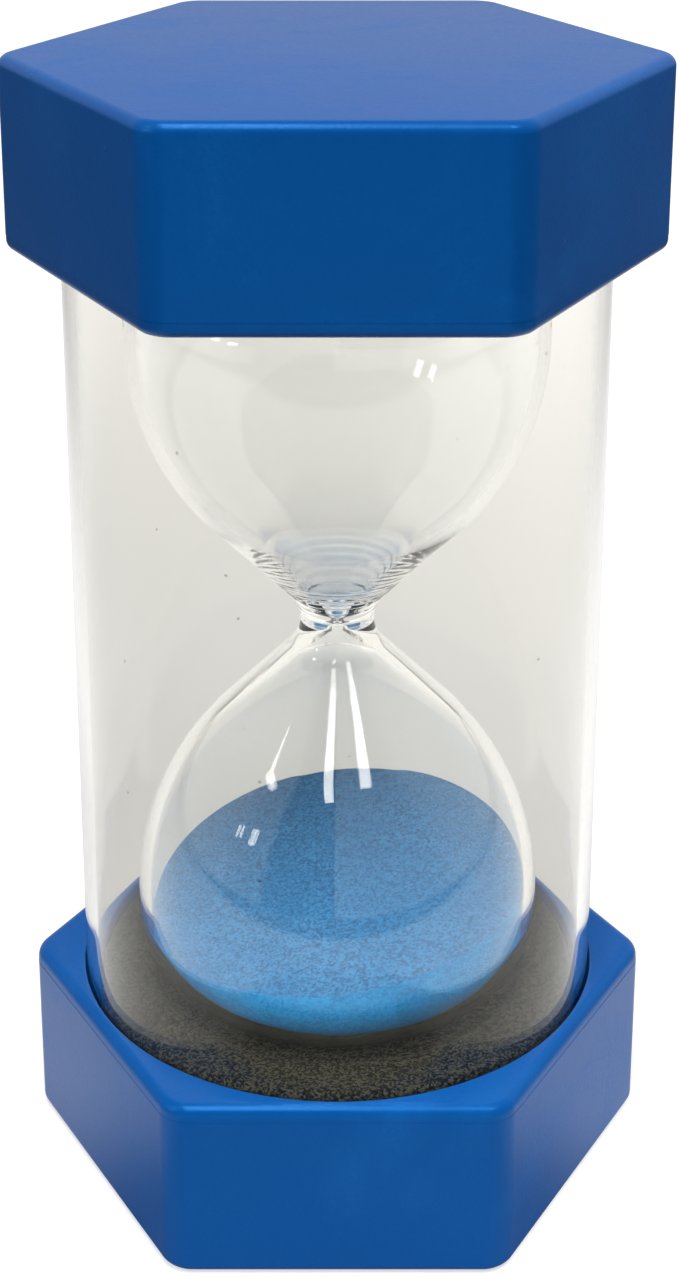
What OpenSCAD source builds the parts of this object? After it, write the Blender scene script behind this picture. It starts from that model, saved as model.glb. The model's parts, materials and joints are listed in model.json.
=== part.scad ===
// Sand timer: a blown hourglass held between foam pads in a clear tube, with a hexagonal cap at each end.
// Millimetres, +Z up, origin at the middle of the face it stands on, corners of the caps at -X and +X.

/* [Overall] */
// Height from end face to end face
overall_h = 160; // [150:1:180]

/* [Clear tube] */
// Outer diameter of the tube
tube_od = 73.6; // [70:0.2:84]
// Wall of the tube
tube_wall = 1.7; // [1.2:0.1:2.4]

/* [End caps] */
// Height of one cap, shell and collar together
cap_h = 26.4; // [23:0.2:32]
// Wall of the hexagonal shell, measured at its flats
shell_wall = 1.9; // [1.4:0.1:2.6]
// Thickness of the closed end face
floor_t = 2.4; // [1.6:0.1:4]
// Radius of the upright corners
corner_r = 4.6; // [3.6:0.1:6]
// Radius of the rounded rims
edge_r = 1.5; // [0.6:0.1:1.8]
// Thickness of the collar plate that closes the shell
collar_t = 2.2; // [2:0.1:3.2]
// How far the collar's sides stand back from the shell's at the seam
seam_step = 0.1; // [0:0.05:0.3]
// Height of the ribs that carry the tube and the pad
rib_h = 3; // [2:0.5:5]
// Thickness of those ribs
rib_t = 1.6; // [1:0.1:2.6]
// Diameter of the collar's locating pins
pin_d = 2; // [1.6:0.1:2.6]
// Length of the pins below the collar
pin_l = 7; // [4:0.5:12]
// Wall of the boss round each pin
boss_wall = 1.7; // [1:0.1:2]

/* [Hourglass] */
// Largest outer diameter of a bulb
bulb_d = 57.8; // [50:0.2:62]
// Wall of the bulbs
glass_wall = 1.6; // [1.2:0.1:2.2]
// Outer diameter of the neck
neck_d = 10.4; // [8:0.2:13]
// Diameter of the hole through the neck
orifice_d = 1; // [0.6:0.1:2]
// Radius of the waist, outside
waist_r = 6.1; // [4.6:0.1:7.6]
// Radius inside, where each bulb runs into the hole
throat_r = 1.5; // [0.8:0.1:2.4]
// Rise of the straight cone between waist and side, in degrees
cone_rise = 46; // [42:0.5:50]
// Radius of the shoulder between a bulb's side and its end
shoulder_r = 12.2; // [10:0.2:15]
// Radius of the shallow dome that ends a bulb
dome_r = 60; // [48:1:80]
// Height of the straight belt at a bulb's widest place
belt_h = 2; // [0.5:0.5:4]
// Radius of the bead left where the filling hole was melted shut
seal_r = 3; // [2:0.1:4]
// How far that bead stands out of the dome
seal_h = 2; // [1:0.1:2.6]

/* [Foam pads] */
// Foam between the ribs and the end of the glass
foam_under = 15; // [11:0.5:18]
// How far the foam lies below the collar's face
foam_drop = 0.4; // [0.2:0.1:1.5]

/* [Sand] */
// Depth of the sand on the axis
sand_depth = 17; // [8:0.2:20]
// Lean of the sand's surface, up towards +X, in degrees
sand_lean_x = 7; // [0:0.5:12]
// Lean of the sand's surface, up towards +Y, in degrees
sand_lean_y = 4.5; // [0:0.5:12]

/* [Fits] */
// Gap between the tube and the caps
tube_fit = 0.25; // [0.1:0.05:0.4]
// Gap round a locating pin
pin_fit = 0.1; // [0.05:0.05:0.2]
// Gap between a pad and the tube
foam_fit = 0.2; // [0.1:0.05:0.6]
// Gap between the glass and the pad it sits in
seat_gap = 0.15; // [0.1:0.05:0.4]
// Gap between the sand and the glass
sand_gap = 0.1; // [0.05:0.05:0.3]

/* [Hidden] */
$fn = 96;
corners = [0 : 60 : 300];
mid_z = overall_h / 2;

// Caps: the shell's inner flats guide the tube, so the tube sets the width across flats
tube_r = tube_od / 2;
socket_r = tube_r + tube_fit;
half_flats = socket_r + shell_wall;
inner_corner_r = corner_r - shell_wall;
seam_z = cap_h - collar_t;
seat_z = floor_t + rib_h;
boss_r = pin_d / 2 + pin_fit + boss_wall;
boss_at = socket_r + boss_r;
pin_room = 1;

// Foam pads
pad_r = tube_r - tube_wall - foam_fit;
pad_top = cap_h - foam_drop;

// Glass, measured from its middle: dome and shoulder touch tangentially, and so do waist, cone and side
bulb_r = bulb_d / 2;
glass_half = mid_z - seat_z - foam_under;
dome_z = glass_half - dome_r;
shoulder_x = bulb_r - shoulder_r;
shoulder_z = dome_z + sqrt(pow(dome_r - shoulder_r, 2) - pow(shoulder_x, 2));
belt_z = shoulder_z - belt_h;
cone_at = [neck_d / 2 + waist_r * (1 - sin(cone_rise)), waist_r * cos(cone_rise)];
side_r = ((belt_z - cone_at.y) * cos(cone_rise) - (bulb_r - cone_at.x) * sin(cone_rise)) / (1 - sin(cone_rise));
side_x = bulb_r - side_r;
seal_z = glass_half + seal_h - seal_r;

// Rounded hexagon with corners on the X axis
module hexagon(half_w, r) {
    side = 2 * (half_w - r) * tan(30);
    for (turn = [30 : 60 : 150])
        rotate(turn)
            square([2 * half_w, side], center = true);
    for (turn = corners)
        rotate(turn)
            translate([(half_w - r) / cos(30), 0])
                circle(r);
}

// Upright round post whose lower rim is rounded
module rim_post(r, h, rim) {
    rotate_extrude($fn = 64) {
        translate([0, rim])
            square([r, h - rim]);
        square([r - rim, h]);
        intersection() {
            translate([r - rim, rim])
                circle(rim);
            square([r, rim]);
        }
    }
}

// Hexagonal block with rounded corners and a rounded lower rim
module rimmed_block(half_w, r, h, rim) {
    hull()
        for (turn = corners)
            rotate(turn)
                translate([(half_w - r) / cos(30), 0, 0])
                    rim_post(r, h, rim);
}

// Flat strip between two heights, from the axis out to a given width
module band(low, high, width) {
    polygon([[0, low], [width, low], [width, high], [0, high]]);
}

// Right half of one bulb's outline, from the waist's middle up, drawn inwards by inset
module bulb_outline(inset, narrow_r, narrow_turn) {
    wide_r = bulb_r - inset;
    arc_r = side_r - inset;
    turn_r = shoulder_r - inset;
    end_r = dome_r - inset;
    narrow_x = narrow_r + narrow_turn;
    span = [narrow_x - side_x, -belt_z];
    facing = atan2(span.y, span.x) + acos((arc_r + narrow_turn) / norm(span));
    outward = [cos(facing), sin(facing)];
    low = [narrow_x, 0] - narrow_turn * outward;
    high = [side_x, belt_z] + arc_r * outward;
    reach = [2 * shoulder_x, 2 * shoulder_z - dome_z];

    difference() {
        band(0, low.y, low.x);
        translate([narrow_x, 0])
            circle(narrow_turn);
    }
    polygon([[0, low.y], low, high, [0, high.y]]);
    intersection() {
        band(high.y, belt_z, bulb_d);
        translate([side_x, belt_z])
            circle(arc_r);
    }
    band(belt_z, shoulder_z, wide_r);
    intersection() {
        polygon([[shoulder_x, shoulder_z], [bulb_d, shoulder_z], [bulb_d, reach.y], reach]);
        translate([shoulder_x, shoulder_z])
            circle(turn_r);
    }
    intersection() {
        polygon([[0, shoulder_z], [shoulder_x, shoulder_z], reach, [0, reach.y]]);
        translate([0, dome_z])
            circle(end_r);
    }
}

// Both bulbs, or the space in them, as a solid of revolution round the neck
module bulbs(inset, narrow_r, narrow_turn) {
    translate([0, 0, mid_z])
        rotate_extrude() {
            bulb_outline(inset, narrow_r, narrow_turn);
            mirror([0, 1])
                bulb_outline(inset, narrow_r, narrow_turn);
        }
}

// Turns what belongs to the base end over to the top end
module at_top() {
    translate([0, 0, overall_h])
        mirror([0, 0, 1])
            children();
}

module cap_shell() {
    difference() {
        union() {
            difference() {
                rimmed_block(half_flats, corner_r, seam_z, edge_r);
                translate([0, 0, floor_t])
                    linear_extrude(seam_z)
                        hexagon(socket_r, inner_corner_r);
            }
            for (turn = corners)
                rotate(turn) {
                    translate([0, -rib_t / 2, floor_t - rib_t / 2])
                        cube([boss_at, rib_t, rib_h + rib_t / 2]);
                    translate([boss_at, 0, floor_t / 2])
                        cylinder(r = boss_r, h = seam_z - floor_t / 2);
                }
        }
        for (turn = corners)
            rotate(turn)
                translate([boss_at, 0, seam_z - pin_l - pin_room])
                    cylinder(d = pin_d + 2 * pin_fit, h = pin_l + 2 * pin_room);
    }
}

module cap_collar() {
    translate([0, 0, cap_h])
        mirror([0, 0, 1])
            difference() {
                rimmed_block(half_flats - seam_step, corner_r - seam_step, collar_t, edge_r);
                translate([0, 0, -collar_t])
                    cylinder(r = socket_r, h = 3 * collar_t);
            }
    for (turn = corners)
        rotate(turn)
            translate([boss_at, 0, seam_z - pin_l])
                cylinder(d = pin_d, h = pin_l + collar_t / 2);
}

module foam_pad() {
    difference() {
        translate([0, 0, seat_z])
            cylinder(r = pad_r, h = pad_top - seat_z);
        bulbs(-seat_gap, neck_d / 2, waist_r);
    }
}

module base_shell() {
    color("#1b5fae") cap_shell();
}

module base_collar() {
    color("#1f6ab9") cap_collar();
}

module base_foam_pad() {
    color("#33332f") foam_pad();
}

module clear_tube() {
    color("#f1f4f4", 0.3)
        translate([0, 0, seat_z])
            difference() {
                cylinder(r = tube_r, h = overall_h - 2 * seat_z);
                translate([0, 0, -tube_wall])
                    cylinder(r = tube_r - tube_wall, h = overall_h);
            }
}

module hourglass() {
    color("#e8f0f2", 0.35)
        difference() {
            union() {
                bulbs(0, neck_d / 2, waist_r);
                translate([0, 0, mid_z + seal_z])
                    sphere(r = seal_r);
            }
            bulbs(glass_wall, orifice_d / 2, throat_r);
        }
}

module sand() {
    color("#4a86c4")
        intersection() {
            bulbs(glass_wall + sand_gap, orifice_d / 2, throat_r);
            translate([0, 0, mid_z - glass_half + glass_wall + sand_depth])
                rotate([sand_lean_y, -sand_lean_x, 0])
                    translate([-bulb_d, -bulb_d, -mid_z])
                        cube([2 * bulb_d, 2 * bulb_d, mid_z]);
        }
}

module top_foam_pad() {
    color("#33332f")
        difference() {
            at_top() foam_pad();
            translate([0, 0, mid_z + seal_z])
                sphere(r = seal_r + seat_gap);
        }
}

module top_collar() {
    color("#1f6ab9") at_top() cap_collar();
}

module top_shell() {
    color("#1b5fae") at_top() cap_shell();
}

base_shell();
base_collar();
base_foam_pad();
clear_tube();
hourglass();
sand();
top_foam_pad();
top_collar();
top_shell();
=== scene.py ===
import json
from math import acos, asin, atan2, cos, hypot, pi, radians, sin, sqrt, tan

import bmesh
import bpy
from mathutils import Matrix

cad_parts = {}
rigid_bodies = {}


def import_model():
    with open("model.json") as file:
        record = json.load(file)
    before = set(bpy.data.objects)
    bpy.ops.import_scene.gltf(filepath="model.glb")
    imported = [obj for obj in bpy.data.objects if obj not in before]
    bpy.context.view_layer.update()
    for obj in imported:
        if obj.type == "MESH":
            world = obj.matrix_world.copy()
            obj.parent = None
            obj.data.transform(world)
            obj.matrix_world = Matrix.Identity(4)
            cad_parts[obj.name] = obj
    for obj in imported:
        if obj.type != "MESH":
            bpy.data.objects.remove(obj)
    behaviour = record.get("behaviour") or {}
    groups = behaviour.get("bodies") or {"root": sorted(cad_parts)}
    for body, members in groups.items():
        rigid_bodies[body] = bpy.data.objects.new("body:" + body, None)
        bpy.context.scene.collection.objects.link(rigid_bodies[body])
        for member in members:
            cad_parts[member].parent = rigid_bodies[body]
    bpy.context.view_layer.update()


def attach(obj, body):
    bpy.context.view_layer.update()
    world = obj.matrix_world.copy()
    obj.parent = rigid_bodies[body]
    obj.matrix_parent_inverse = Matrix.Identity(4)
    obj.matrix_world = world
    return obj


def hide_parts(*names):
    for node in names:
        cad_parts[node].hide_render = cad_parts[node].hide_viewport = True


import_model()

# Camera: it stands 0.3 m in front of the timer and looks down on it by 18 degrees. Its lens is shifted
# down, as where the picture is the lower part of a larger one. Light may bounce often, because it goes
# through four clear walls and is mirrored many times inside the glass.
MM = 0.001
CAMERA_AT = (0.31 * MM, -301.34 * MM, 222.44 * MM)
LOOK_DOWN = radians(18.175)
LENS_LENGTH = 66.18
LENS_SHIFT = -0.25
CLIP_START = 10 * MM
MOST_BOUNCES = 32
GLOSS_BOUNCES = 24
bpy.ops.object.camera_add(location=CAMERA_AT, rotation=(pi / 2 - LOOK_DOWN, 0, 0))
camera = bpy.context.object
camera.data.lens = LENS_LENGTH
camera.data.shift_y = LENS_SHIFT
camera.data.clip_start = CLIP_START
bpy.context.scene.camera = camera
bpy.context.scene.view_settings.view_transform = "Standard"
light_paths = bpy.context.scene.cycles
light_paths.max_bounces = MOST_BOUNCES
light_paths.glossy_bounces = GLOSS_BOUNCES
light_paths.transmission_bounces = MOST_BOUNCES

# Floor: a wide pale table top, which shows white and keeps a soft shadow. Through the tube it is a warm grey
# behind the timer. Mirrored, it has a painted shade patch close in front of the lower cap; it is dark far to
# the sides where gloss mirrors it, and beyond the table's front edge where the inside of the tube does.
FLOOR_SIZE = 16.0
FLOOR_DROP = 0.2 * MM
BACK_REACH = (0.12, 0.45)
BACK_GREY = (0.66, 0.87)
RIGHT_REACH = (-0.02, 0.12)
RIGHT_LIFT = 0.17
WHITE_ASIDE = (0.08, 0.2)
WHITE_LEVEL = 1.25
# Painted shade: a dark patch on the floor close in front of the lower cap, where gloss and glass mirror the
# floor.
PAINTED_SHADE_START = (0.0, 0.03)
PAINTED_SHADE_END = (0.05, 0.15)
PAINTED_SHADE_SIDE = (0.035, 0.06)
GLOSS_LEVEL = 0.80
GLOSS_PAINTED_SHADE = 0.12
GLOSS_SIDE = (0.1, 0.25)
GLOSS_SIDE_SHARE = 0.12
GLASS_LEVEL = 0.93
GLASS_PAINTED_SHADE = 0.3
TABLE_EDGE = (0.30, 0.315)
PAST_TABLE_SHARE = 0.25
GLOW_REACH = (0.6, 2.0)
GLOW_SHARE = (0.62, 1.0)
GLOW_MIRRORED = 0.25
SHADE_SHARE = 0.45
SHADE_MIRRORED = 0.65
BOUNCE_REACH = (0.1, 0.22)
BOUNCE_TONE = (0.92, 0.1)


def add_node(tree, kind, **values):
    """Adds a node of this kind. Values name its settings and, with spaces as underscores, its inputs."""
    node = tree.nodes.new(kind)
    for name, value in values.items():
        if hasattr(node, name):
            setattr(node, name, value)
        else:
            node.inputs[name.replace("_", " ")].default_value = value
    return node


def number(tree, operation, *terms):
    """A Math node on sockets and numbers; gives its output."""
    node = add_node(tree, "ShaderNodeMath", operation=operation)
    for socket, term in zip(node.inputs, terms):
        if isinstance(term, bpy.types.NodeSocket):
            tree.links.new(term, socket)
        else:
            socket.default_value = term
    return node.outputs[0]


def ramp(tree, source, low, high, start=0.0, end=1.0):
    """A smooth step of source between low and high, from start to end; gives its output."""
    node = add_node(tree, "ShaderNodeMapRange", interpolation_type="SMOOTHSTEP")
    tree.links.new(source, node.inputs["Value"])
    for name, value in (("From Min", low), ("From Max", high), ("To Min", start), ("To Max", end)):
        node.inputs[name].default_value = value
    return node.outputs[0]


def blend(tree, factor, first, second):
    """Goes from first to second, each a socket or a number; gives the output."""
    node = add_node(tree, "ShaderNodeMix", data_type="FLOAT")
    for socket, term in zip(node.inputs, (factor, None, first, second)):
        if isinstance(term, bpy.types.NodeSocket):
            tree.links.new(term, socket)
        elif term is not None:
            socket.default_value = term
    return node.outputs[0]


def ray_masks(tree):
    """Masks for rays that no dull surface scattered, for mirrored ones and for those gone through glass."""
    path = tree.nodes.new("ShaderNodeLightPath")
    seen = number(tree, "LESS_THAN", path.outputs["Diffuse Depth"], 0.5)
    mirrored = number(tree, "MINIMUM", path.outputs["Glossy Depth"], 1.0)
    passed = number(tree, "MINIMUM", path.outputs["Transmission Depth"], 1.0)
    return seen, mirrored, passed


def floor_finish():
    """Pale table top: a real one for scattered light, and at set levels where it is seen or mirrored."""
    finish = bpy.data.materials.new("pale_floor")
    finish.use_nodes = True
    finish.cycles.emission_sampling = "NONE"
    tree = finish.node_tree
    tree.nodes.clear()
    place = add_node(tree, "ShaderNodeTexCoord").outputs["Object"]
    distance = add_node(tree, "ShaderNodeVectorMath", operation="LENGTH")
    tree.links.new(place, distance.inputs[0])
    along = add_node(tree, "ShaderNodeSeparateXYZ")
    tree.links.new(place, along.inputs[0])
    aside = number(tree, "ABSOLUTE", along.outputs["X"])
    ahead = number(tree, "MULTIPLY", along.outputs["Y"], -1.0)
    seen, mirrored, passed = ray_masks(tree)

    grey = ramp(tree, along.outputs["Y"], *BACK_REACH, *BACK_GREY)
    grey = number(tree, "ADD", grey, ramp(tree, along.outputs["X"], *RIGHT_REACH, 0.0, RIGHT_LIFT))
    grey = blend(tree, ramp(tree, aside, *WHITE_ASIDE), grey, WHITE_LEVEL)
    # Painted shade: the floor close in front of the lower cap darkens where gloss or glass mirrors it.
    painted_shade_patch = number(tree, "MULTIPLY", ramp(tree, ahead, *PAINTED_SHADE_START), ramp(tree, ahead, *PAINTED_SHADE_END, 1.0, 0.0))
    painted_shade_patch = number(tree, "MULTIPLY", painted_shade_patch, ramp(tree, aside, *PAINTED_SHADE_SIDE, 1.0, 0.0))
    in_gloss = blend(tree, painted_shade_patch, GLOSS_LEVEL, GLOSS_PAINTED_SHADE)
    in_gloss = number(tree, "MULTIPLY", in_gloss, ramp(tree, aside, *GLOSS_SIDE, 1.0, GLOSS_SIDE_SHARE))
    in_glass = blend(tree, painted_shade_patch, GLASS_LEVEL, GLASS_PAINTED_SHADE)
    in_glass = number(tree, "MULTIPLY", in_glass, ramp(tree, ahead, *TABLE_EDGE, 1.0, PAST_TABLE_SHARE))
    level = blend(tree, mirrored, blend(tree, passed, 1.0, grey), blend(tree, passed, in_gloss, in_glass))

    glow = add_node(tree, "ShaderNodeEmission")
    glow_share = ramp(tree, distance.outputs["Value"], *GLOW_REACH, *GLOW_SHARE)
    glow_share = blend(tree, mirrored, glow_share, GLOW_MIRRORED)
    tree.links.new(number(tree, "MULTIPLY", level, glow_share), glow.inputs["Strength"])
    shade = add_node(tree, "ShaderNodeBsdfDiffuse")
    shade_share = blend(tree, mirrored, SHADE_SHARE, SHADE_MIRRORED)
    tree.links.new(number(tree, "MULTIPLY", level, shade_share), shade.inputs["Color"])
    shown = add_node(tree, "ShaderNodeAddShader")
    tree.links.new(glow.outputs[0], shown.inputs[0])
    tree.links.new(shade.outputs[0], shown.inputs[1])
    real = add_node(tree, "ShaderNodeBsdfDiffuse")
    bounce = ramp(tree, distance.outputs["Value"], *BOUNCE_REACH, *BOUNCE_TONE)
    tree.links.new(bounce, real.inputs["Color"])
    either = add_node(tree, "ShaderNodeMixShader")
    tree.links.new(seen, either.inputs[0])
    tree.links.new(real.outputs[0], either.inputs[1])
    tree.links.new(shown.outputs[0], either.inputs[2])
    tree.links.new(either.outputs[0], add_node(tree, "ShaderNodeOutputMaterial").inputs["Surface"])
    return finish


bpy.ops.object.select_all(action="DESELECT")
bpy.ops.mesh.primitive_plane_add(size=FLOOR_SIZE, location=(0, 0, -FLOOR_DROP))
floor = bpy.context.object
floor.name = "floor"
floor.data.materials.append(floor_finish())

# Room: soft light from all round, most from the right, white where the camera sees it past or through
# the timer. Mirrored in gloss its walls are half as bright, its ceiling is darker and a dark screen
# stands in front on the left. Mirrored inside the tube, its walls are brighter.
ROOM_WHITE = (1.0, 0.995, 0.985, 1.0)
ROOM_RIGHT = (0.1, 0.9)
ROOM_LIGHT = (0.12, 0.42)
WALL_IN_GLOSS = 0.52
WALL_BEARING = (0.9, 1.4)
WALL_IN_GLASS = (0.7, 1.15)
CEILING_RISE = (0.6, 0.85)
CEILING_SHARE = 0.45
SCREEN_LEFT = (-0.80, -0.74)
SCREEN_RIGHT = (-0.037, -0.023)
SCREEN_IN_GLOSS = 0.08
SCREEN_IN_GLASS = 0.05


def light_room(tree):
    """Builds the room's light in the nodes of its world."""
    tree.nodes.clear()
    direction = add_node(tree, "ShaderNodeSeparateXYZ")
    tree.links.new(add_node(tree, "ShaderNodeTexCoord").outputs["Generated"], direction.inputs[0])
    ahead = number(tree, "MULTIPLY", direction.outputs["Y"], -1.0)
    bearing = number(tree, "ARCTAN2", direction.outputs["X"], ahead)
    screen = ramp(tree, bearing, *SCREEN_LEFT)
    screen = number(tree, "MULTIPLY", screen, ramp(tree, bearing, *SCREEN_RIGHT, 1.0, 0.0))
    in_gloss = blend(tree, screen, WALL_IN_GLOSS, SCREEN_IN_GLOSS)
    ceiling = ramp(tree, direction.outputs["Z"], *CEILING_RISE, 1.0, CEILING_SHARE)
    in_gloss = number(tree, "MULTIPLY", in_gloss, ceiling)
    turned = number(tree, "ABSOLUTE", bearing)
    in_glass = blend(tree, screen, ramp(tree, turned, *WALL_BEARING, *WALL_IN_GLASS), SCREEN_IN_GLASS)
    seen, mirrored, passed = ray_masks(tree)
    level = blend(tree, mirrored, 1.0, blend(tree, passed, in_gloss, in_glass))
    level = blend(tree, seen, ramp(tree, direction.outputs["X"], *ROOM_RIGHT, *ROOM_LIGHT), level)
    backdrop = add_node(tree, "ShaderNodeBackground", Color=ROOM_WHITE)
    tree.links.new(level, backdrop.inputs["Strength"])
    tree.links.new(backdrop.outputs[0], add_node(tree, "ShaderNodeOutputWorld").inputs["Surface"])


room = bpy.data.worlds.new("room")
bpy.context.scene.world = room
room.use_nodes = True
room.cycles.sampling_method = "NONE"
light_room(room.node_tree)

# Lamps: three lamp strips under the ceiling in front of the timer, two small panes on the left and a soft
# window behind it on the right, which neither gloss nor glass shows.
LAMP_HEIGHT = 1.5
STRIP_RADIANCE = 30
PANE_RADIANCE = 40
WINDOW_RADIANCE = 2.8
for name, place, size, turn, radiance in (
    ("strip_middle", (-0.165, -0.65, LAMP_HEIGHT), (0.18, 1.2), (0, 0, 0), STRIP_RADIANCE),
    ("strip_right", (0.49, -0.68, LAMP_HEIGHT), (0.22, 0.55), (0, 0, 14.5), STRIP_RADIANCE),
    ("strip_left", (-1.36, -0.6, LAMP_HEIGHT), (0.2, 0.3), (0, 0, 0), STRIP_RADIANCE),
    ("pane_far", (-0.94, -0.39, 0.44), (0.035, 0.09), (68, 0, -67), PANE_RADIANCE),
    ("pane_near", (-0.80, -0.52, 0.455), (0.05, 0.12), (67, 0, -57), PANE_RADIANCE),
    ("window", (0.8, 0.75, 0.9), (1.2, 0.9), (52, 0, 133), WINDOW_RADIANCE),
):
    bpy.ops.object.light_add(type="AREA", location=place, rotation=[radians(angle) for angle in turn])
    lamp = bpy.context.object
    lamp.name = name
    lamp.data.shape = "RECTANGLE"
    lamp.data.size, lamp.data.size_y = size
    lamp.data.energy = radiance * pi * size[0] * size[1]
    lamp.visible_camera = False
    lamp.visible_glossy = name != "window"
    lamp.visible_transmission = name != "window"

# Lower cap: an injection-moulded hexagonal cup of blue plastic with a closed end face. Three ribs cross
# its floor to carry the tube and the pad, and a boss in each corner takes one pin of the collar.
CAP_HEIGHT = 26.4 * MM
COLLAR_THICK = 2.2 * MM
SEAM = CAP_HEIGHT - COLLAR_THICK
HALF_FLATS = 38.95 * MM
CAP_WALL = 1.9 * MM
CAP_FLOOR = 2.4 * MM
CORNER_ROUND = 4.6 * MM
RIM_ROUND = 1.5 * MM
RIB_TOP = 5.4 * MM
RIB_ROOT = CAP_FLOOR - 0.8 * MM
RIB_THICK = 1.6 * MM
BOSS_AT = 39.85 * MM
BOSS_RADIUS = 2.8 * MM
BOSS_ROOT = CAP_FLOOR / 2
BOSS_WALL = 1.7 * MM
BOSS_DEPTH = 8 * MM
NEAR = 0.01 * MM
CAP_BLUE = (0.0014, 0.073, 0.29, 1.0)
CAP_PALER = (0.0025, 0.088, 0.325, 1.0)
CAP_DARKER = (0.0008, 0.067, 0.28, 1.0)
CAP_SPECK = (0.06, 0.16, 0.4, 1.0)
CAP_GLOSS = (0.08, 0.4, 1.0, 1.0)
CAP_IOR = 1.5


def open_piece(name):
    """Names the primitive just added, puts its place in its mesh and opens it for editing, none selected."""
    piece = bpy.context.object
    piece.name = name
    piece.data.name = name
    bpy.ops.object.transform_apply(location=True, rotation=True, scale=True)
    bpy.ops.object.mode_set(mode="EDIT")
    bpy.ops.mesh.select_all(action="DESELECT")
    return piece


def close_piece():
    """Goes back from editing to the object."""
    bpy.ops.object.mode_set(mode="OBJECT")


def pick(piece, kind, test):
    """Selects, while editing, only the edges or faces that pass the test."""
    bpy.ops.mesh.select_mode(type=kind)
    bpy.ops.mesh.select_all(action="DESELECT")
    shape = bmesh.from_edit_mesh(piece.data)
    for part in shape.edges if kind == "EDGE" else shape.faces:
        if test(part):
            part.select_set(True)
    shape.select_flush_mode()
    bmesh.update_edit_mesh(piece.data)


def at_height(height):
    """A test for edges and faces that lie level at this height."""
    return lambda part: all(abs(vert.co.z - height) < NEAR for vert in part.verts)


def upright_edge(edge):
    """True for an edge that joins two heights."""
    return abs(edge.verts[0].co.z - edge.verts[1].co.z) > NEAR


def draw_out(x=0.0, z=0.0):
    """Extrudes what is selected along a straight way, to the right and up."""
    bpy.ops.mesh.extrude_region_move(TRANSFORM_OT_translate={"value": (x, 0.0, z)})


def hexagon_block(name, half_flats, low, high, corner_round):
    """A hexagonal block with rounded upright corners, two of them on the X axis, open for editing."""
    bpy.ops.object.select_all(action="DESELECT")
    bpy.ops.mesh.primitive_cylinder_add(
        vertices=6, radius=half_flats / cos(pi / 6), depth=high - low,
        location=(0, 0, (low + high) / 2), rotation=(0, 0, pi / 6),
    )
    piece = open_piece(name)
    pick(piece, "EDGE", upright_edge)
    bpy.ops.mesh.bevel(offset=corner_round * tan(pi / 6), segments=10, profile=0.5, affect="EDGES")
    return piece


def rod(name, radius, low, high, turn, vertices):
    """An upright rod in the corner of the cap at this many degrees, open for editing."""
    bpy.ops.object.select_all(action="DESELECT")
    bpy.ops.mesh.primitive_cylinder_add(
        vertices=vertices, radius=radius, depth=high - low,
        location=(BOSS_AT * cos(radians(turn)), BOSS_AT * sin(radians(turn)), (low + high) / 2),
    )
    return open_piece(name)


def combine(piece, other, operation):
    """Joins another shape to a piece, or cuts it out, and removes the other shape."""
    change = piece.modifiers.new("combine", "BOOLEAN")
    change.object = other
    change.operation = operation
    change.solver = "EXACT"
    bpy.ops.object.select_all(action="DESELECT")
    bpy.context.view_layer.objects.active = piece
    piece.select_set(True)
    bpy.ops.object.modifier_apply(modifier=change.name)
    spare = other.data
    bpy.data.objects.remove(other)
    bpy.data.meshes.remove(spare)


def smooth(piece, angle=32):
    """Shades a piece smooth wherever its faces meet at less than this many degrees."""
    bpy.ops.object.select_all(action="DESELECT")
    bpy.context.view_layer.objects.active = piece
    piece.select_set(True)
    bpy.ops.object.shade_smooth_by_angle(angle=radians(angle))


def fit(piece, node, finish):
    """Gives a piece its material and lets it stand for its CAD node."""
    piece.data.materials.clear()
    piece.data.materials.append(finish)
    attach(piece, "root")
    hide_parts(node)


def new_group(name, scale_name, *given_names):
    """A node group with a place and a scale as inputs and these outputs; gives it with both its ends."""
    group = bpy.data.node_groups.new(name, "ShaderNodeTree")
    group.interface.new_socket("Place", in_out="INPUT", socket_type="NodeSocketVector")
    group.interface.new_socket(scale_name, in_out="INPUT", socket_type="NodeSocketFloat")
    for given_name in given_names:
        group.interface.new_socket(given_name, in_out="OUTPUT", socket_type="NodeSocketFloat")
    return group, group.nodes.new("NodeGroupInput"), group.nodes.new("NodeGroupOutput")


def grain_group():
    """Fine grain that plastic skin, foam and sand share: a tone for the colour and a height for the bump."""
    group, taken, given = new_group("fine_grain", "Grains per Metre", "Tone", "Height")
    cells = add_node(group, "ShaderNodeTexVoronoi", feature="F1")
    cloud = add_node(group, "ShaderNodeTexNoise", Detail=2.0, Roughness=0.6)
    for texture in (cells, cloud):
        group.links.new(taken.outputs["Place"], texture.inputs["Vector"])
        group.links.new(taken.outputs["Grains per Metre"], texture.inputs["Scale"])
    tint = add_node(group, "ShaderNodeSeparateColor")
    group.links.new(cells.outputs["Color"], tint.inputs["Color"])
    cloud_share = number(group, "MULTIPLY", cloud.outputs["Fac"], 0.4)
    tone = number(group, "MULTIPLY_ADD", tint.outputs["Red"], 0.6, cloud_share)
    height = number(group, "SUBTRACT", cloud.outputs["Fac"], cells.outputs["Distance"])
    group.links.new(tone, given.inputs["Tone"])
    group.links.new(height, given.inputs["Height"])
    return group


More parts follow.
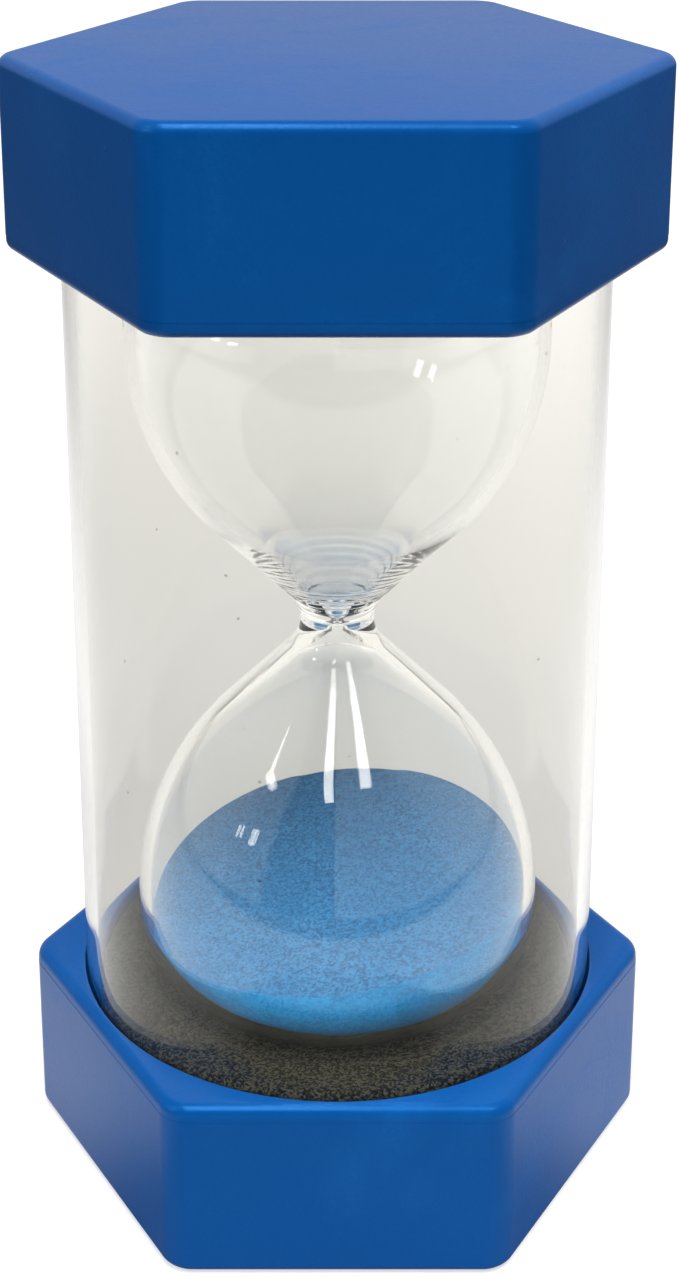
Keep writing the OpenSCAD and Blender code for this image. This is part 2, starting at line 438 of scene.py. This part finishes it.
def marks_group():
    """Marks of handling that plastic, tube and glass share: soft smudges, and a few specks of dust."""
    group, taken, given = new_group("handling_marks", "Smudges per Metre", "Smudge", "Speck")
    patches = add_node(group, "ShaderNodeTexNoise", Detail=5.0, Roughness=0.62, Distortion=0.8)
    group.links.new(taken.outputs["Place"], patches.inputs["Vector"])
    group.links.new(taken.outputs["Smudges per Metre"], patches.inputs["Scale"])
    group.links.new(ramp(group, patches.outputs["Fac"], 0.46, 0.72), given.inputs["Smudge"])
    dots = add_node(group, "ShaderNodeTexVoronoi", feature="F1")
    dots_per_smudge = 7.0
    group.links.new(taken.outputs["Place"], dots.inputs["Vector"])
    dot_scale = number(group, "MULTIPLY", taken.outputs["Smudges per Metre"], dots_per_smudge)
    group.links.new(dot_scale, dots.inputs["Scale"])
    tint = add_node(group, "ShaderNodeSeparateColor")
    group.links.new(dots.outputs["Color"], tint.inputs["Color"])
    small = ramp(group, dots.outputs["Distance"], 0.035, 0.075, 1.0, 0.0)
    rare = number(group, "GREATER_THAN", tint.outputs["Green"], 0.86)
    group.links.new(number(group, "MULTIPLY", small, rare), given.inputs["Speck"])
    return group


fine_grain = grain_group()
handling_marks = marks_group()


def new_finish(name):
    """A new material; gives it with its node tree, its shader and its Object coordinates."""
    finish = bpy.data.materials.new(name)
    finish.use_nodes = True
    shader = finish.node_tree.nodes["Principled BSDF"]
    place = add_node(finish.node_tree, "ShaderNodeTexCoord").outputs["Object"]
    return finish, finish.node_tree, shader, place


def use_group(tree, group, place, **values):
    """Places a node group in a material; gives the node."""
    node = add_node(tree, "ShaderNodeGroup", node_tree=group)
    tree.links.new(place, node.inputs["Place"])
    for name, value in values.items():
        node.inputs[name.replace("_", " ")].default_value = value
    return node


def blend_colour(tree, factor, first, second):
    """Mixes two colours, each a socket or four numbers; gives the output."""
    node = add_node(tree, "ShaderNodeMix", data_type="RGBA")
    tree.links.new(factor, node.inputs["Factor"])
    for socket, colour in ((node.inputs[6], first), (node.inputs[7], second)):
        if isinstance(colour, bpy.types.NodeSocket):
            tree.links.new(colour, socket)
        else:
            socket.default_value = colour
    return node.outputs[2]


def bump(tree, shader, height, strength, depth):
    """Lets a height bend the shader's normal."""
    node = add_node(tree, "ShaderNodeBump", Strength=strength, Distance=depth)
    tree.links.new(height, node.inputs["Height"])
    tree.links.new(node.outputs["Normal"], shader.inputs["Normal"])


def cap_finish():
    """Blue moulded plastic: a fine spark-eroded skin, faintly clouded, with smudges and scuffs."""
    finish, tree, shader, place = new_finish("blue_cap_plastic")
    skin = use_group(tree, fine_grain, place, Grains_per_Metre=2600.0)
    marks = use_group(tree, handling_marks, place, Smudges_per_Metre=38.0)
    colour = blend_colour(tree, marks.outputs["Smudge"], CAP_BLUE, CAP_PALER)
    colour = blend_colour(tree, ramp(tree, skin.outputs["Tone"], 0.2, 0.9, 0.0, 0.55), colour, CAP_DARKER)
    speck = number(tree, "MULTIPLY", marks.outputs["Speck"], 0.5)
    colour = blend_colour(tree, speck, colour, CAP_SPECK)
    tree.links.new(colour, shader.inputs["Base Color"])
    rough = number(tree, "MULTIPLY_ADD", marks.outputs["Smudge"], 0.07, 0.27)
    rough = number(tree, "MULTIPLY_ADD", skin.outputs["Tone"], 0.05, rough)
    tree.links.new(rough, shader.inputs["Roughness"])
    shader.inputs["IOR"].default_value = CAP_IOR
    shader.inputs["Specular Tint"].default_value = CAP_GLOSS
    bump(tree, shader, skin.outputs["Height"], strength=0.22, depth=0.04 * MM)
    return finish


blue_plastic = cap_finish()
lower_cap = hexagon_block("lower_cap", HALF_FLATS, 0.0, SEAM, CORNER_ROUND)
pick(lower_cap, "EDGE", at_height(0.0))
bpy.ops.mesh.bevel(offset=RIM_ROUND, segments=6, profile=0.5, affect="EDGES")
pick(lower_cap, "FACE", at_height(SEAM))
bpy.ops.mesh.inset(thickness=CAP_WALL)
draw_out(z=CAP_FLOOR - SEAM)
close_piece()
for turn in (0, 60, 120):
    bpy.ops.object.select_all(action="DESELECT")
    bpy.ops.mesh.primitive_cube_add(
        size=1, location=(0, 0, (RIB_ROOT + RIB_TOP) / 2), rotation=(0, 0, radians(turn)),
        scale=(2 * BOSS_AT, RIB_THICK, RIB_TOP - RIB_ROOT),
    )
    rib = open_piece("rib")
    close_piece()
    combine(lower_cap, rib, "UNION")
for turn in range(0, 360, 60):
    boss = rod("boss", BOSS_RADIUS, BOSS_ROOT, SEAM, turn, vertices=32)
    pick(boss, "FACE", at_height(SEAM))
    bpy.ops.mesh.inset(thickness=BOSS_WALL)
    draw_out(z=-BOSS_DEPTH)
    close_piece()
    combine(lower_cap, boss, "UNION")
smooth(lower_cap)
fit(lower_cap, "base_shell", blue_plastic)

# Lower collar: the moulded hexagonal plate that closes the cap round the tube. Its upper rim is rounded,
# its sides stand back a little at the seam, and six pins press into the cap's bosses.
SEAM_STEP = 0.04 * MM
SOCKET_RADIUS = 37.05 * MM
SOCKET_ROUND = 0.35 * MM
PIN_RADIUS = 1 * MM
PIN_LENGTH = 7 * MM
PIN_ROUND = 0.3 * MM
PIN_ROOT = SEAM + COLLAR_THICK / 2


def round_edge(radius, height):
    """A test for edges of a circle round the Z axis at this height."""
    def test(edge):
        return all(
            abs(hypot(vert.co.x, vert.co.y) - radius) < 5 * NEAR and abs(vert.co.z - height) < NEAR
            for vert in edge.verts
        )
    return test


lower_collar = hexagon_block(
    "lower_collar", HALF_FLATS - SEAM_STEP, SEAM, CAP_HEIGHT, CORNER_ROUND - SEAM_STEP
)
pick(lower_collar, "EDGE", at_height(CAP_HEIGHT))
bpy.ops.mesh.bevel(offset=RIM_ROUND, segments=6, profile=0.5, affect="EDGES")
close_piece()
bpy.ops.object.select_all(action="DESELECT")
bpy.ops.mesh.primitive_cylinder_add(
    vertices=144, radius=SOCKET_RADIUS, depth=4 * COLLAR_THICK, location=(0, 0, CAP_HEIGHT - COLLAR_THICK / 2)
)
socket = open_piece("socket")
close_piece()
combine(lower_collar, socket, "DIFFERENCE")
bpy.ops.object.mode_set(mode="EDIT")
pick(lower_collar, "EDGE", round_edge(SOCKET_RADIUS, CAP_HEIGHT))
bpy.ops.mesh.bevel(offset=SOCKET_ROUND, segments=3, profile=0.5, affect="EDGES")
close_piece()
for turn in range(0, 360, 60):
    pin = rod("pin", PIN_RADIUS, SEAM - PIN_LENGTH, PIN_ROOT, turn, vertices=24)
    pick(pin, "EDGE", at_height(SEAM - PIN_LENGTH))
    bpy.ops.mesh.bevel(offset=PIN_ROUND, segments=2, profile=0.5, affect="EDGES")
    close_piece()
    combine(lower_collar, pin, "UNION")
smooth(lower_collar)
fit(lower_collar, "base_collar", blue_plastic)

# Lower foam pad: a plug of charcoal open-cell foam in the foot of the tube. It is punched out round and
# hollowed where the bulb sits. Its edges are soft, and its lip rounds off and leaves a crease at the glass.
MIDDLE = 80 * MM
PAD_RADIUS = 34.9 * MM
PAD_TOP = 26.0 * MM
PAD_ROUND = 1 * MM
SEAT_GAP = 0.15 * MM
LIP_ROUND = 1.8 * MM
LIP_RADIUS = 28.2 * MM
BULB_RADIUS = 28.9 * MM
GLASS_HALF = 59.6 * MM
DOME_RADIUS = 60 * MM
SHOULDER_RADIUS = 12.2 * MM
DOME_CENTRE = MIDDLE - GLASS_HALF + DOME_RADIUS
SHOULDER_X = BULB_RADIUS - SHOULDER_RADIUS
SHOULDER_LOW = DOME_CENTRE - sqrt((DOME_RADIUS - SHOULDER_RADIUS) ** 2 - SHOULDER_X ** 2)
DOME_TURN = atan2(SHOULDER_X, DOME_CENTRE - SHOULDER_LOW)
AROUND = 128
FOAM_PORE = (0.0006, 0.0006, 0.0005, 1.0)
FOAM_WALL = (0.04, 0.039, 0.024, 1.0)


def start_outline(name, x, z):
    """Starts a turned piece as one vertex of its outline, in the XZ plane, open for editing."""
    bpy.ops.object.select_all(action="DESELECT")
    bpy.ops.mesh.primitive_plane_add(size=MM, location=(x, 0, z))
    piece = open_piece(name)
    bpy.ops.mesh.select_mode(type="VERT")
    bpy.ops.mesh.select_all(action="SELECT")
    bpy.ops.mesh.merge(type="CENTER")
    return piece


def outline_end(piece):
    """The place of the outline's last vertex, which is the one selected."""
    shape = bmesh.from_edit_mesh(piece.data)
    return next(vert.co.copy() for vert in shape.verts if vert.select)


def line_to(piece, x, z, steps=1):
    """Carries the outline on along a straight line, in equal steps."""
    end = outline_end(piece)
    for step in range(steps):
        draw_out(x=(x - end.x) / steps, z=(z - end.z) / steps)


def arc_about(x, z, turn, steps):
    """Carries the outline on along an arc about a centre; turn counts anticlockwise seen from the front."""
    bpy.ops.mesh.spin(steps=steps, angle=turn, center=(x, 0, z), axis=(0, 1, 0))


def turn_round(inside=False):
    """Turns the outline, and all it is joined to, once round the Z axis, with faces outwards or inwards."""
    bpy.ops.mesh.select_linked()
    bpy.ops.mesh.spin(steps=AROUND, angle=2 * pi, center=(0, 0, 0), axis=(0, 0, 1), use_auto_merge=True)
    bpy.ops.mesh.select_linked()
    bpy.ops.mesh.remove_doubles(threshold=0.001 * MM)
    bpy.ops.mesh.normals_make_consistent(inside=inside)


def foam_finish():
    """Charcoal foam: small open cells, paler cell walls and darker pores, quite dull."""
    finish, tree, shader, place = new_finish("charcoal_foam")
    cells = use_group(tree, fine_grain, place, Grains_per_Metre=3600.0)
    wall = ramp(tree, cells.outputs["Tone"], 0.35, 0.75)
    tree.links.new(blend_colour(tree, wall, FOAM_PORE, FOAM_WALL), shader.inputs["Base Color"])
    tree.links.new(number(tree, "MULTIPLY_ADD", wall, -0.12, 1.0), shader.inputs["Roughness"])
    shader.inputs["Specular IOR Level"].default_value = 0.2
    bump(tree, shader, cells.outputs["Height"], strength=0.6, depth=0.15 * MM)
    return finish


charcoal_foam = foam_finish()
lip_drop = PAD_TOP - LIP_ROUND
lip_turn = asin((SHOULDER_LOW - lip_drop) / (SHOULDER_RADIUS + SEAT_GAP))
pad_edge = PAD_RADIUS - PAD_ROUND
lower_pad = start_outline("lower_foam_pad", 0, DOME_CENTRE - DOME_RADIUS - SEAT_GAP)
arc_about(0, DOME_CENTRE, DOME_TURN, steps=12)
arc_about(SHOULDER_X, SHOULDER_LOW, pi / 2 - DOME_TURN - lip_turn, steps=8)
line_to(lower_pad, LIP_RADIUS - LIP_ROUND, lip_drop)
arc_about(LIP_RADIUS, lip_drop, -pi / 2, steps=6)
line_to(lower_pad, pad_edge, PAD_TOP, steps=6)
arc_about(pad_edge, PAD_TOP - PAD_ROUND, -pi / 2, steps=5)
line_to(lower_pad, PAD_RADIUS, RIB_TOP + PAD_ROUND)
arc_about(pad_edge, RIB_TOP + PAD_ROUND, -pi / 2, steps=5)
line_to(lower_pad, 0, RIB_TOP)
turn_round()
close_piece()
smooth(lower_pad, 60)
fit(lower_pad, "base_foam_pad", charcoal_foam)

# Clear tube: extruded acrylic, sawn to length, with its edges broken and polished. It stands on the ribs of
# the lower cap, and its upper end reaches the ribs of the upper one.
TUBE_RADIUS = 36.8 * MM
TUBE_WALL = 1.7 * MM
TUBE_BORE = TUBE_RADIUS - TUBE_WALL
TUBE_LOW = RIB_TOP
TUBE_HIGH = 2 * MIDDLE - RIB_TOP
TUBE_EDGE = 0.3 * MM
DUST = (0.12, 0.11, 0.10, 1.0)


def clear_finish(name, tint, ior, gloss, lamp_share, smudge_rough, dust):
    """Clear plastic or glass with faint smudges and dust. Rays from lamps pass it straight, so that they
    light what is inside."""
    finish, tree, shader, place = new_finish(name)
    marks = use_group(tree, handling_marks, place, Smudges_per_Metre=30.0)
    speck = number(tree, "MULTIPLY", marks.outputs["Speck"], dust)
    tree.links.new(blend_colour(tree, speck, tint, DUST), shader.inputs["Base Color"])
    rough = number(tree, "MULTIPLY", marks.outputs["Smudge"], smudge_rough)
    tree.links.new(rough, shader.inputs["Roughness"])
    shader.inputs["Transmission Weight"].default_value = 1.0
    shader.inputs["IOR"].default_value = ior
    shader.inputs["Specular Tint"].default_value = (gloss, gloss, gloss, 1.0)
    lamp_tint = (lamp_share, lamp_share, lamp_share, 1.0)
    open_way = add_node(tree, "ShaderNodeBsdfTransparent", Color=lamp_tint)
    rays = tree.nodes.new("ShaderNodeLightPath")
    either = add_node(tree, "ShaderNodeMixShader")
    tree.links.new(rays.outputs["Is Shadow Ray"], either.inputs[0])
    tree.links.new(shader.outputs[0], either.inputs[1])
    tree.links.new(open_way.outputs[0], either.inputs[2])
    tree.links.new(either.outputs[0], tree.nodes["Material Output"].inputs["Surface"])
    return finish


clear_acrylic = clear_finish(
    "clear_acrylic", tint=(0.925, 0.915, 0.885, 1.0), ior=1.49, gloss=0.3, lamp_share=0.93,
    smudge_rough=0.006, dust=0.7,
)
tube = start_outline("tube", TUBE_BORE, TUBE_LOW + TUBE_EDGE)
line_to(tube, TUBE_BORE + TUBE_EDGE, TUBE_LOW)
line_to(tube, TUBE_RADIUS - TUBE_EDGE, TUBE_LOW)
line_to(tube, TUBE_RADIUS, TUBE_LOW + TUBE_EDGE)
line_to(tube, TUBE_RADIUS, TUBE_HIGH - TUBE_EDGE, steps=12)
line_to(tube, TUBE_RADIUS - TUBE_EDGE, TUBE_HIGH)
line_to(tube, TUBE_BORE + TUBE_EDGE, TUBE_HIGH)
line_to(tube, TUBE_BORE, TUBE_HIGH - TUBE_EDGE)
line_to(tube, TUBE_BORE, TUBE_LOW + TUBE_EDGE, steps=12)
turn_round()
close_piece()
smooth(tube)
fit(tube, "clear_tube", clear_acrylic)

# Hourglass: lamp-blown from clear glass tube. Each bulb runs from a shallow dome over a tight shoulder, a
# short belt and a round side into a cone and the thick waist. The burner left rings above the waist, and the
# upper dome carries the melted seal bead.
GLASS_WALL = 1.6 * MM
BELT_HEIGHT = 2 * MM
NECK_RADIUS = 5.2 * MM
ORIFICE_RADIUS = 0.5 * MM
WAIST_RADIUS = 6.1 * MM
THROAT_RADIUS = 1.5 * MM
CONE_RISE = radians(46)
RING_PITCH = 1.4 * MM
RING_DEPTH = 0.09 * MM
RING_STEP = 0.2 * MM
RING_STEPS = 52
SEAL_RADIUS = 3 * MM
SEAL_RISE = 2 * MM
SEAL_CENTRE = MIDDLE + GLASS_HALF + SEAL_RISE - SEAL_RADIUS
BELT_LOW = SHOULDER_LOW + BELT_HEIGHT
BELT_SPAN = MIDDLE - BELT_LOW
CONE_WIDTH = BULB_RADIUS - NECK_RADIUS - WAIST_RADIUS * (1 - sin(CONE_RISE))
CONE_FALL = BELT_SPAN - WAIST_RADIUS * cos(CONE_RISE)
SIDE_RADIUS = (CONE_FALL * cos(CONE_RISE) - CONE_WIDTH * sin(CONE_RISE)) / (1 - sin(CONE_RISE))
SIDE_X = BULB_RADIUS - SIDE_RADIUS


def lower_bulb_outline(piece, inset):
    """Draws dome, shoulder and belt of the lower bulb, from the dome's middle out."""
    arc_about(0, DOME_CENTRE, DOME_TURN, steps=12)
    arc_about(SHOULDER_X, SHOULDER_LOW, pi / 2 - DOME_TURN, steps=18)
    line_to(piece, BULB_RADIUS - inset, BELT_LOW)


def ringed_neck(piece, narrow_x, narrow_turn, turn):
    """Carries the outline on from the waist up the cone, with the rings that the burner left."""
    for step in range(1, RING_STEPS + 1):
        way = step * RING_STEP
        left = (RING_STEPS - step) * RING_STEP
        fade = min(1.0, way / RING_PITCH, left / (2 * RING_PITCH))
        swell = RING_DEPTH * fade * sin(2 * pi * way / RING_PITCH)
        slant = min(way / narrow_turn, turn)
        beyond = way - slant * narrow_turn
        x = narrow_x - (narrow_turn - swell) * cos(slant) + beyond * sin(slant)
        line_to(piece, x, MIDDLE + (narrow_turn - swell) * sin(slant) + beyond * cos(slant))


def hourglass_outline(piece, inset, narrow, narrow_turn, top_gap):
    """Draws both bulbs from the lower dome to the upper one, drawn in by inset, with this neck."""
    side = SIDE_RADIUS - inset
    narrow_x = narrow + narrow_turn
    across = narrow_x - SIDE_X
    turn = atan2(BELT_SPAN, across) - acos((side + narrow_turn) / hypot(across, BELT_SPAN))
    lower_bulb_outline(piece, inset)
    arc_about(SIDE_X, BELT_LOW, turn, steps=26)
    line_to(piece, narrow_x - narrow_turn * cos(turn), MIDDLE - narrow_turn * sin(turn))
    arc_about(narrow_x, MIDDLE, -turn, steps=16)
    if inset:
        arc_about(narrow_x, MIDDLE, -turn, steps=16)
    else:
        ringed_neck(piece, narrow_x, narrow_turn, turn)
    line_to(piece, SIDE_X + side * cos(turn), 2 * MIDDLE - BELT_LOW - side * sin(turn))
    arc_about(SIDE_X, 2 * MIDDLE - BELT_LOW, turn, steps=26)
    line_to(piece, BULB_RADIUS - inset, 2 * MIDDLE - SHOULDER_LOW)
    arc_about(SHOULDER_X, 2 * MIDDLE - SHOULDER_LOW, pi / 2 - DOME_TURN, steps=18)
    arc_about(0, 2 * MIDDLE - DOME_CENTRE, DOME_TURN - top_gap, steps=12)


blown_glass = clear_finish(
    "blown_glass", tint=(0.985, 0.99, 0.985, 1.0), ior=1.5, gloss=1.0, lamp_share=0.95,
    smudge_rough=0.003, dust=0.35,
)
hourglass = start_outline("blown_hourglass", 0, MIDDLE - GLASS_HALF + GLASS_WALL)
hourglass_outline(hourglass, GLASS_WALL, ORIFICE_RADIUS, THROAT_RADIUS, top_gap=0.0)
turn_round(inside=True)
close_piece()
bead_gap = SEAL_CENTRE - (2 * MIDDLE - DOME_CENTRE)
bead_z = (DOME_RADIUS ** 2 - SEAL_RADIUS ** 2 + bead_gap ** 2) / (2 * bead_gap)
bead_x = sqrt(DOME_RADIUS ** 2 - bead_z ** 2)
outer_glass = start_outline("outer_glass", 0, MIDDLE - GLASS_HALF)
hourglass_outline(outer_glass, 0.0, NECK_RADIUS, WAIST_RADIUS, top_gap=asin(bead_x / DOME_RADIUS))
arc_about(0, SEAL_CENTRE, pi / 2 - atan2(bead_z - bead_gap, bead_x), steps=8)
turn_round()
close_piece()
bpy.ops.object.select_all(action="DESELECT")
outer_glass.select_set(True)
hourglass.select_set(True)
bpy.context.view_layer.objects.active = hourglass
bpy.ops.object.join()
smooth(hourglass, 60)
fit(hourglass, "hourglass", blown_glass)

# Sand: fine dyed sand, all of it run down into the lower bulb. The timer was tilted last, so its surface
# leans a little, up to the right and to the back.
SAND_INSET = GLASS_WALL + 0.1 * MM
SAND_DEPTH = 17 * MM
SAND_LEAN_X = radians(7)
SAND_LEAN_Y = radians(4.5)
SAND_AT = (0, 0, MIDDLE - GLASS_HALF + GLASS_WALL + SAND_DEPTH)
SAND_UP = (-sin(SAND_LEAN_X) * cos(SAND_LEAN_Y), -sin(SAND_LEAN_Y), cos(SAND_LEAN_X) * cos(SAND_LEAN_Y))
SAND_OVER_BELT = radians(25)
SAND_RINGS = 11
SAND_RING_WIDTH = 2.2 * MM
# Sand colours: the two side colours are painted light, much paler than the top's, so that the sand's sides
# look lit.
SIDE_PAINTED_LIT_PALE = (0.025, 0.378, 0.79, 1.0)
SIDE_PAINTED_LIT_DEEP = (0.010, 0.276, 0.664, 1.0)
SAND_TOP_PALE = (0.028, 0.163, 0.348, 1.0)
SAND_TOP_DEEP = (0.003, 0.070, 0.175, 1.0)
SAND_DRIFT = (0.003, 0.1, 0.25, 1.0)


def above_sand(place):
    """Height of a place over the sand's flat surface."""
    return sum((place[i] - SAND_AT[i]) * SAND_UP[i] for i in range(3))


def sand_finish():
    """Dyed sand: grains of several blues, fully dull, with painted light: its sides are painted much paler
    than its top, so that they look lit.
    """
    finish, tree, shader, place = new_finish("blue_sand")
    grains = use_group(tree, fine_grain, place, Grains_per_Metre=3100.0)
    drift = use_group(tree, fine_grain, place, Grains_per_Metre=160.0)
    facing = add_node(tree, "ShaderNodeSeparateXYZ")
    tree.links.new(add_node(tree, "ShaderNodeTexCoord").outputs["Normal"], facing.inputs[0])
    # Painted light: faces that turn sideways take the pale side colours, and upward faces take the top
    # colours.
    facing_up_share = ramp(tree, facing.outputs["Z"], 0.3, 0.8)
    pale = blend_colour(tree, facing_up_share, SIDE_PAINTED_LIT_PALE, SAND_TOP_PALE)
    deep = blend_colour(tree, facing_up_share, SIDE_PAINTED_LIT_DEEP, SAND_TOP_DEEP)
    colour = blend_colour(tree, ramp(tree, grains.outputs["Tone"], 0.2, 0.75), deep, pale)
    drifted = ramp(tree, drift.outputs["Tone"], 0.3, 0.8, 0.0, 0.25)
    tree.links.new(blend_colour(tree, drifted, colour, SAND_DRIFT), shader.inputs["Base Color"])
    rough = number(tree, "MULTIPLY_ADD", grains.outputs["Tone"], 0.15, 0.8)
    tree.links.new(rough, shader.inputs["Roughness"])
    shader.inputs["Specular IOR Level"].default_value = 0.25
    bump(tree, shader, grains.outputs["Height"], strength=0.6, depth=0.15 * MM)
    return finish


dyed_sand = sand_finish()
sand = start_outline("sand_fill", 0, MIDDLE - GLASS_HALF + SAND_INSET)
lower_bulb_outline(sand, SAND_INSET)
arc_about(SIDE_X, BELT_LOW, SAND_OVER_BELT, steps=14)
line_to(sand, 0, outline_end(sand).z)
turn_round()
bpy.ops.mesh.bisect(plane_co=SAND_AT, plane_no=SAND_UP, use_fill=True, clear_outer=True)
pick(sand, "FACE", lambda face: all(abs(above_sand(vert.co)) < NEAR for vert in face.verts))
for ring in range(SAND_RINGS):
    bpy.ops.mesh.inset(thickness=SAND_RING_WIDTH)
close_piece()
smooth(sand, 30)
fit(sand, "sand", dyed_sand)

# Upper foam pad: the same plug of charcoal foam as below, turned over. It sits in the head of the tube and
# holds the upper dome with its seal bead.


def turned_over(piece, name):
    """A copy of a piece of the lower end, with its own mesh, mirrored to the upper end."""
    bpy.ops.object.select_all(action="DESELECT")
    copy = bpy.data.objects.new(name, piece.data.copy())
    copy.data.name = name
    bpy.context.collection.objects.link(copy)
    bpy.context.view_layer.objects.active = copy
    copy.select_set(True)
    bpy.ops.object.mode_set(mode="EDIT")
    bpy.ops.mesh.select_all(action="SELECT")
    bpy.ops.transform.resize(value=(1, 1, -1), center_override=(0, 0, MIDDLE))
    bpy.ops.mesh.flip_normals()
    bpy.ops.object.mode_set(mode="OBJECT")
    return copy


upper_pad = turned_over(lower_pad, "upper_foam_pad")
fit(upper_pad, "top_foam_pad", charcoal_foam)

# Upper collar: the same moulded plate as below, turned over. The tube goes up through its opening, and its
# pins point up into the upper cap.
upper_collar = turned_over(lower_collar, "upper_collar")
fit(upper_collar, "top_collar", blue_plastic)

# Upper cap: the same moulded cup as below, turned over and pressed onto the collar's pins. Its closed end
# face is the one that the timer stands on after its next turn.
upper_cap = turned_over(lower_cap, "upper_cap")
fit(upper_cap, "top_shell", blue_plastic)
